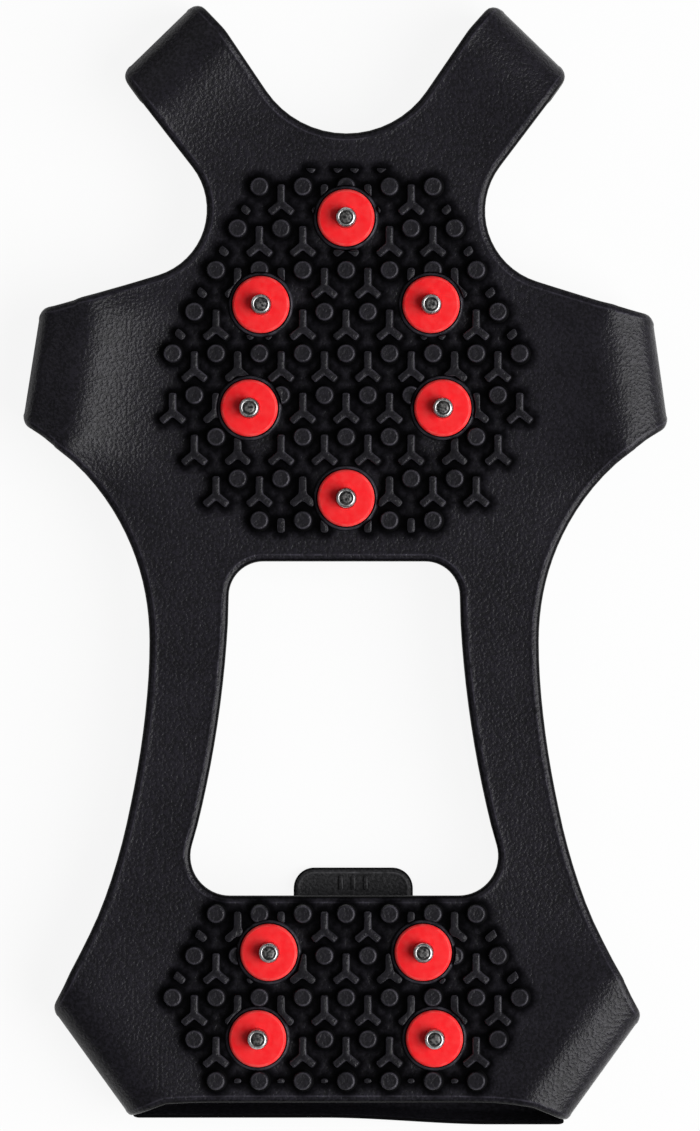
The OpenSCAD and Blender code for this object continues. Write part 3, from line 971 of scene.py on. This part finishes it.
# Tread pegs. Short round pegs moulded on the pads in staggered rows, tapered, with a soft foot
# and a rounded top edge. A peg beside a stud is cut back by the ring of clear space round it.
peg_pitch = (10.4, 10.0)
peg_foot_r = 2.4
peg_top_r = 2.15
peg_h = 3.0
peg_sides = 28
peg_overlap = 0.4
peg_weld = 2e-6
fore_row_y = 90.5
heel_row_y = -83.9
fore_pegs = (5, 6, 7, 8, 9, 8, 7, 6, 5)
heel_pegs = (7, 8, 9, 8, 7)
studs = {
    "toe": (0, 83),
    "shoulder_left": (-20.4, 62.2),
    "shoulder_right": (20.4, 62.2),
    "ball_left": (-23.2, 37.4),
    "ball_right": (23.2, 37.4),
    "arch": (0, 15.8),
    "heel_front_left": (-18.5, -93.1),
    "heel_front_right": (18.5, -93.1),
    "heel_rear_left": (-21.2, -113.8),
    "heel_rear_right": (21.2, -113.8),
}
boss_r = 7.72
clear_r = boss_r + 0.15
stud_spots = [Vector(p) for p in studs.values()]


def row_sites(first_y, counts):
    """Sites of the tread, row by row from the toe, each row centred on the sole."""
    for row, count in enumerate(counts):
        for i in range(count):
            yield Vector(((i - (count - 1) / 2) * peg_pitch[0], first_y - row * peg_pitch[1]))


def tread_floor(p):
    """Height of the pad under a peg or rib."""
    return sole_top + strap_crown(p)


def kept_clear(p):
    """Point moved out of the clear space round a stud."""
    for spot in stud_spots:
        d = p - spot
        if d.length < clear_r:
            return spot + d.normalized() * clear_r
    return p


def circle(centre, r, count):
    return [centre + r * direction(math.tau * k / count) for k in range(count)]


peg_profile = [
    (peg_foot_r + 0.5, -0.05),
    (peg_foot_r + 0.2, 0.06),
    (peg_foot_r + 0.04, 0.22),
    (peg_foot_r, 0.5),
    (peg_top_r, peg_h - 0.42),
    (peg_top_r - 0.1, peg_h - 0.14),
    (peg_top_r - 0.34, peg_h),
    (peg_top_r - 0.6, peg_h - 0.02),
]


def peg_rows(name, first_y, counts):
    bm = bmesh.new()
    for site in row_sites(first_y, counts):
        if min((site - spot).length for spot in stud_spots) < boss_r - peg_overlap:
            continue
        loops = [[kept_clear(p) for p in circle(site, r, peg_sides)] for r, _ in peg_profile]
        # The top edge is painted paler, as wear and painted highlight; the foot gets painted shade.
        raised(bm, loops, tread_floor, peg_profile, wear_and_highlight_loops=(5, 6))
    bmesh.ops.remove_doubles(bm, verts=bm.verts, dist=peg_weld)
    return finished(bm, name)


tread_rubber = rubber(
    "tread_rubber",
    dark=(0.0060, 0.0057, 0.0072),
    pale=(0.0160, 0.0150, 0.0190),
    rough=(0.27, 0.37),
    weave=0.0,
    wear_and_highlight=1.0,
    depth=0.00004,
)
tread = [
    peg_rows("forefoot_pegs", fore_row_y, fore_pegs),
    peg_rows("heel_pegs", heel_row_y, heel_pegs),
]
for piece in tread:
    piece.data.materials.append(tread_rubber)
    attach(piece, "sole")


# Tread ribs. Y-shaped ribs moulded between the pegs, a little lower than they are. The field of
# ribs ends on a sloping edge, which cuts some of them, and so does the clear space round a stud.
rib_w = 1.9
rib_h = 2.4
rib_rim = 0.42
cut_rim = 0.16
least_part = 0.7
joint_up = 6.0
rib_limbs = ((90, 4.6), (220, 3.7), (320, 3.7))
rib_end_r = 0.6
rib_fork_r = 0.5
wear_step = 0.05
wear_every = 7
wear_passes = 4
ring_sides = 48
ring_reach = 4 * clear_r
ring_cut_step = 0.8
fore_ribs = (3, 6, 7, 8, 9, 8, 9, 8, 7, 4)
heel_ribs = (0, 8, 9, 8, 7, 6)
fore_field = ((1.0, 0.44), (2.3, -0.28), (4.6, -4.78), (4.6, -5.6), (3.2, -8.3))
heel_field = ((3.18, 0.1), (4.18, -1.9), (4.3, -2.8), (3.5, -4.06))


def limb(angle, length, side):
    """Corner at the end of a limb, on its left or right side."""
    out = direction(math.radians(angle))
    return out * length + Vector((-out.y, out.x)) * side * rib_w / 2


def fork(a, b):
    """Inner corner between limbs at two angles."""
    mid, half = math.radians((a + b) / 2), math.radians(abs(a - b) / 2)
    return direction(mid) * (rib_w / 2 / math.sin(half))


def y_shape():
    """Outline of one rib round its joint, to the left, with eased corners."""
    corners = []
    for k, (angle, length) in enumerate(rib_limbs):
        following = rib_limbs[k + 1][0] if k < 2 else rib_limbs[0][0] + 360
        corners.append((*limb(angle, length, -1), rib_end_r))
        corners.append((*limb(angle, length, 1), rib_end_r))
        corners.append((*fork(angle, following), rib_fork_r))
    return rounded(corners)


def chained(sides):
    """Closed loops made of directed sides."""
    following = dict(sides)
    loops = []
    while following:
        start, at = next(iter(following.items()))
        del following[start]
        loop = [start]
        while at != start:
            loop.append(at)
            at = following.pop(at)
        loops.append(loop)
    return loops


def eased(loop):
    """Loop with its corners worn round."""
    loop = evenly(loop, wear_step)[::wear_every]
    for _ in range(wear_passes):
        loop = [(p + 2 * q + r) / 4 for p, q, r in zip(loop[-1:] + loop, loop, loop[1:] + loop[:1])]
    return loop


def cut_rib(shape, field, rings):
    """Parts of a rib inside the field and outside the clear rings."""
    near = [r for r in rings if min((p - r[0]).length for p in shape) < ring_reach]
    loops = [shape, field] + [evenly(r, ring_cut_step) for r in near]
    points, sides = [], []
    for loop in loops:
        n = len(points)
        points += loop
        sides += [(n + i, n + (i + 1) % len(loop)) for i in range(len(loop))]
    made = delaunay_2d_cdt(points, sides, [], 0, 1e-4)
    kept = []
    for face in made[2]:
        middle = sum((made[0][i] for i in face), Vector((0, 0))) / 3
        inside = within(middle, shape) and within(middle, field)
        if inside and not any(within(middle, ring) for ring in near):
            kept.append(face)
    border = set()
    for face in kept:
        for a, b in zip(face, face[1:] + face[:1]):
            if (b, a) in border:
                border.remove((b, a))
            else:
                border.add((a, b))
    return [[made[0][i] for i in loop] for loop in chained(sorted(border))]


clear_rings = [circle(spot, clear_r, ring_sides) for spot in stud_spots]


def tread_field(first_y, corners):
    """Outline of a field of ribs, from corners counted in pitches from its first row of pegs."""
    half = [(x * peg_pitch[0], first_y + y * peg_pitch[1]) for x, y in corners]
    return rounded((half + mirrored(half))[::-1])


def rib_rows(name, first_y, counts, corners):
    bm = bmesh.new()
    field = tread_field(first_y, corners)
    for site in row_sites(first_y, counts):
        shape = [site + Vector((0, joint_up)) + p for p in y_shape()]
        parts = [shape]
        whole = all(within(p, field) and kept_clear(p) is p for p in shape)
        if not whole:
            parts = cut_rib(shape, field, clear_rings)
        for part in parts:
            if signed_area(part) < least_part:
                continue
            rim = rib_rim if whole else cut_rim
            profile = [
                (-0.9 * rim, -0.05),
                (-0.4 * rim, 0.06),
                (-0.04, 0.2),
                (0, 0.45),
                (0.06, rib_h - rim),
                (0.06 + rim * 0.3, rib_h - rim * 0.3),
                (0.06 + rim, rib_h),
            ]
            loop = part if whole else eased(part)
            loops = [inset(loop, depth) for depth, _ in profile]
            # The top edge is painted paler, as wear and painted highlight; the foot gets painted shade.
            raised(bm, loops, tread_floor, profile, wear_and_highlight_loops=(4, 5))
    return finished(bm, name)


ribs = [
    rib_rows("forefoot_ribs", fore_row_y, fore_ribs, fore_field),
    rib_rows("heel_ribs", heel_row_y, heel_ribs, heel_field),
]
tread += ribs
for piece in ribs:
    piece.data.materials.append(tread_rubber)
    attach(piece, "sole")


# Painted shade: the pad between the pegs and ribs, a halo round their feet and the outsides of the rolls are
# painted black and made to shine less.
roll_shade = 0.8
roll_shade_z = 15.5
roll_shade_fade = 4
halo_w = 2.4
halo_fade = 1.9
face_depth = 1
feet = []
for piece in tread:
    marks = piece.data.attributes["painted_shade"].data
    feet += [v.co / MM for v, mark in zip(piece.data.vertices, marks) if mark.value == 1.0]
near_foot = search_tree(feet)
painted_shade = sole_sheet.data.attributes["painted_shade"]
for i, v in enumerate(sole_sheet.data.vertices):
    x, y, z = v.co / MM
    shade = roll_shade * smooth((roll_shade_z - z) / roll_shade_fade)
    if z > sole_top - face_depth:
        away = near_foot.find((x, y, 0))[2]
        shade = max(shade, floor_shade * smooth((halo_w - away) / halo_fade))
    painted_shade.data[i].value = max(painted_shade.data[i].value, shade)


# Stud bosses. A round rubber seat moulded on the pad under each stud disc, with a thin lip that
# stands round the disc and leaves a narrow dark gap.
boss_h = 1.2
lip_h = 1.55
lip_r = 7.1


def lathe(bm, spot, base, profile, count=56, wear_and_highlight_places=()):
    """Turned shape on the axis through spot; its profile runs from the bottom to the top."""
    edge_mark = bm.verts.layers.float.get("edge") or bm.verts.layers.float.new("edge")
    rings = []
    for r, h in profile:
        places = circle(Vector(spot), r, count if r else 1)
        ring = [bm.verts.new((p.x * MM, p.y * MM, (base + h) * MM)) for p in places]
        for v in ring:
            v[edge_mark] = 1.0 if (r, h) in wear_and_highlight_places else 0.0
        rings.append(ring)
    for lower, upper in zip(rings, rings[1:]):
        for i in range(count):
            if len(lower) == 1:
                bm.faces.new((lower[0], upper[i], upper[i - 1]))
            elif len(upper) == 1:
                bm.faces.new((lower[i - 1], lower[i], upper[0]))
            else:
                bm.faces.new((lower[i - 1], lower[i], upper[i], upper[i - 1]))


boss_profile = [
    (0, -0.15),
    (boss_r + 0.3, -0.15),
    (boss_r + 0.08, 0.12),
    (boss_r, 0.4),
    (boss_r - 0.03, lip_h - 0.44),
    (boss_r - 0.1, lip_h - 0.28),
    (lip_r + 0.22, lip_h - 0.1),
    (lip_r + 0.06, lip_h - 0.04),
    (lip_r, lip_h - 0.14),
    (lip_r - 0.03, boss_h - 0.1),
    (0, boss_h - 0.1),
]
# The lip's top edge is painted paler, as wear and painted highlight.
bm = bmesh.new()
for spot in studs.values():
    lathe(bm, spot, sole_top, boss_profile, wear_and_highlight_places=boss_profile[4:8])
stud_bosses = finished(bm, "stud_bosses")
stud_bosses.data.materials.append(tread_rubber)
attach(stud_bosses, "sole")


# Stud discs. Flat washers of bright red moulded plastic, one on each boss. The pin comes through
# the middle, and the top edge is bevelled.
disc_r = 6.85
disc_t = 2.0
disc_seat = sole_top + boss_h
disc_bore_r = 2.46
disc_red = (0.93, 0.014, 0.020)
disc_pale_red = (0.95, 0.085, 0.080)
disc_profile = [
    (disc_bore_r, 0.05),
    (disc_r - 0.25, 0.05),
    (disc_r, 0.3),
    (disc_r, disc_t - 0.62),
    (disc_r - 0.06, disc_t - 0.46),
    (disc_r - 0.42, disc_t - 0.12),
    (disc_r - 0.56, disc_t - 0.05),
    (disc_r - 0.75, disc_t - 0.02),
    (4.5, disc_t),
    (disc_bore_r + 0.32, disc_t - 0.01),
    (disc_bore_r + 0.16, disc_t - 0.05),
    (disc_bore_r + 0.02, disc_t - 0.22),
    (disc_bore_r, disc_t - 0.5),
    (disc_bore_r, 0.05),
]
# Red plastic, paler red in a random mottle and on the bevelled top edge; the edge is partly wear, partly
# painted highlight.
red_plastic, tree, shader = new_material("disc_plastic")
speck = noise_node(tree, 2400, 2)
mottle = ramp_node(tree, noise_node(tree, 650, 4), 0.35, 0.7, 0.0, 0.35)
edges = add(tree, "ShaderNodeGroup", {"Amount": 0.9}, node_tree=edge_wear_and_highlight).outputs["Mask"]
tint = math_node(tree, "MAXIMUM", mottle, edges)
looks = {
    "Base Color": mix_node(tree, tint, disc_red, disc_pale_red),
    "Specular IOR Level": 0.12,
    "Subsurface Weight": 0.3,
    "Subsurface Radius": (1.0, 0.12, 0.12),
    "Subsurface Scale": 0.002,
    "Roughness": ramp_node(tree, speck, 0.3, 0.7, 0.34, 0.52),
    "Normal": bump_node(tree, speck, depth=0.00003, strength=0.6),
}
fill(tree, shader, looks)
for name, spot in studs.items():
    bm = bmesh.new()
    lathe(bm, spot, disc_seat, disc_profile, count=72, wear_and_highlight_places=disc_profile[3:7])
    bmesh.ops.remove_doubles(bm, verts=bm.verts, dist=1e-7)
    disc = finished(bm, f"stud_disc_{name}")
    disc.data.materials.append(red_plastic)
    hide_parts(f"disc_{name}")
    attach(disc, "sole")


# Stud pins. Turned steel pins pushed through the pad from inside and held by a flange. The end is
# bevelled, and a groove runs round the hard tip.
pin_r = 2.4
pin_h = 24.8 - sole_top
flange_r = 6
flange_t = 1
flange_z = -sheet_t
steel_grey = (0.62, 0.62, 0.63)
steel_pale = (0.82, 0.81, 0.80)
pin_profile = [
    (0, flange_z),
    (flange_r - 0.2, flange_z),
    (flange_r, flange_z + 0.2),
    (flange_r, flange_z + flange_t - 0.2),
    (flange_r - 0.2, flange_z + flange_t),
    (pin_r, flange_z + flange_t),
    (pin_r, pin_h - 0.62),
    (pin_r - 0.08, pin_h - 0.4),
    (pin_r - 0.42, pin_h - 0.06),
    (pin_r - 0.52, pin_h),
    (1.72, pin_h),
    (1.66, pin_h - 0.06),
    (1.6, pin_h - 0.5),
    (0, pin_h - 0.5),
]
steel, tree, shader = new_material("pin_steel")
dull = noise_node(tree, 1500, 3)
tone = ramp_node(tree, dull, 0.3, 0.7)
place = add(tree, "ShaderNodeTexCoord").outputs["Object"]
turned = add(tree, "ShaderNodeMapping", {"Vector": place, "Scale": (0.04, 0.04, 1.0)}).outputs[0]
looks = {
    "Metallic": 1.0,
    "Base Color": mix_node(tree, tone, steel_grey, steel_pale),
    "Roughness": ramp_node(tree, dull, 0.3, 0.7, 0.22, 0.38),
    "Normal": bump_node(tree, noise_node(tree, 9000, 1, turned), depth=0.00002, strength=0.5),
}
fill(tree, shader, looks)
for name, spot in studs.items():
    bm = bmesh.new()
    lathe(bm, spot, sole_top, pin_profile, count=48)
    pin = finished(bm, f"stud_pin_{name}")
    pin.data.materials.append(steel)
    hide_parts(f"pin_{name}")
    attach(pin, "sole")


# Stud tips. Small cylinders of sintered hard metal pressed into the pins, dull grey, with an eased
# and slightly chipped top edge.
tip_r = 1.5
tip_top = pin_h + 0.3
tip_len = 3.3
carbide_dark = (0.02, 0.02, 0.022)
carbide_pale = (0.22, 0.215, 0.21)
tip_profile = [
    (0, tip_top - tip_len),
    (tip_r, tip_top - tip_len),
    (tip_r, tip_top - 0.45),
    (tip_r - 0.1, tip_top - 0.2),
    (tip_r - 0.35, tip_top - 0.03),
    (tip_r - 0.6, tip_top),
    (0, tip_top - 0.06),
]
bm = bmesh.new()
for spot in studs.values():
    lathe(bm, spot, sole_top, tip_profile, count=36)
stud_tips = finished(bm, "stud_tip_set")
hard_metal, tree, shader = new_material("tip_carbide")
sinter = noise_node(tree, 1900, 4)
tone = ramp_node(tree, sinter, 0.35, 0.68)
looks = {
    "Metallic": 1.0,
    "Base Color": mix_node(tree, tone, carbide_dark, carbide_pale),
    "Roughness": ramp_node(tree, sinter, 0.3, 0.7, 0.35, 0.6),
    "Normal": bump_node(tree, sinter, depth=0.00008, strength=0.7),
}
fill(tree, shader, looks)
stud_tips.data.materials.append(hard_metal)
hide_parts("stud_tips")
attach(stud_tips, "sole")


# Studio. A plain white floor under the cleat, a soft key lamp from the lower right, a weak fill
# from the other side, and a long lens straight above.
floor_z = -0.0002
seen_white = 0.9
mirrored_white = 0.12
camera_height = 2.2
camera_shift = (0.00096, -0.00036)
frame_height = 0.2714
sensor_w = 36


def pale_to_camera(tree, lit, share, mirrored_share, output):
    """Mixes a shader with plain white where the camera, a reflection or glass looks at it."""
    rays = add(tree, "ShaderNodeLightPath").outputs
    seen = math_node(tree, "MULTIPLY", rays["Is Camera Ray"], share)
    other = math_node(tree, "MAXIMUM", rays["Is Glossy Ray"], rays["Is Transmission Ray"])
    seen = math_node(tree, "MAXIMUM", seen, math_node(tree, "MULTIPLY", other, mirrored_share))
    white = add(tree, "ShaderNodeEmission", {"Color": (1, 1, 1, 1), "Strength": 1.0})
    both = {0: seen, 1: lit.outputs[0], 2: white.outputs[0]}
    fill(tree, output, {"Surface": add(tree, "ShaderNodeMixShader", both).outputs[0]})


bpy.ops.mesh.primitive_plane_add(size=6, location=(0, 0, floor_z))
floor = bpy.context.object
floor.name = "studio_floor"
floor_paint, tree, paint = new_material("floor_paint")
fill(tree, paint, {"Base Color": (0.9, 0.9, 0.9, 1), "Roughness": 0.9, "Specular IOR Level": 0.1})
pale_to_camera(tree, paint, seen_white, mirrored_white, tree.nodes["Material Output"])
floor.data.materials.append(floor_paint)

world = bpy.data.worlds.new("studio")
bpy.context.scene.world = world
world.use_nodes = True
air = world.node_tree.nodes["Background"]
fill(world.node_tree, air, {"Color": (1, 1, 1, 1), "Strength": 0.13})


def soft_lamp(name, place, size, watts):
    data = bpy.data.lights.new(name, "AREA")
    data.shape = "DISK"
    data.size = size
    data.energy = watts
    lamp = bpy.data.objects.new(name, data)
    lamp.location = place
    lamp.rotation_euler = (-Vector(place)).to_track_quat("-Z", "Y").to_euler()
    bpy.context.scene.collection.objects.link(lamp)


soft_lamp("key_lamp", place=(1.55, -0.42, 1.55), size=2.2, watts=70)
soft_lamp("fill_lamp", place=(-1.0, 0.9, 1.4), size=1.4, watts=2)

lens_data = bpy.data.cameras.new("camera")
lens_data.lens = sensor_w * (camera_height - sole_top * MM) / frame_height
lens_data.clip_end = 20
camera = bpy.data.objects.new("camera", lens_data)
camera.location = (*camera_shift, camera_height)
bpy.context.scene.collection.objects.link(camera)
bpy.context.scene.camera = camera
bpy.context.scene.view_settings.view_transform = "Standard"
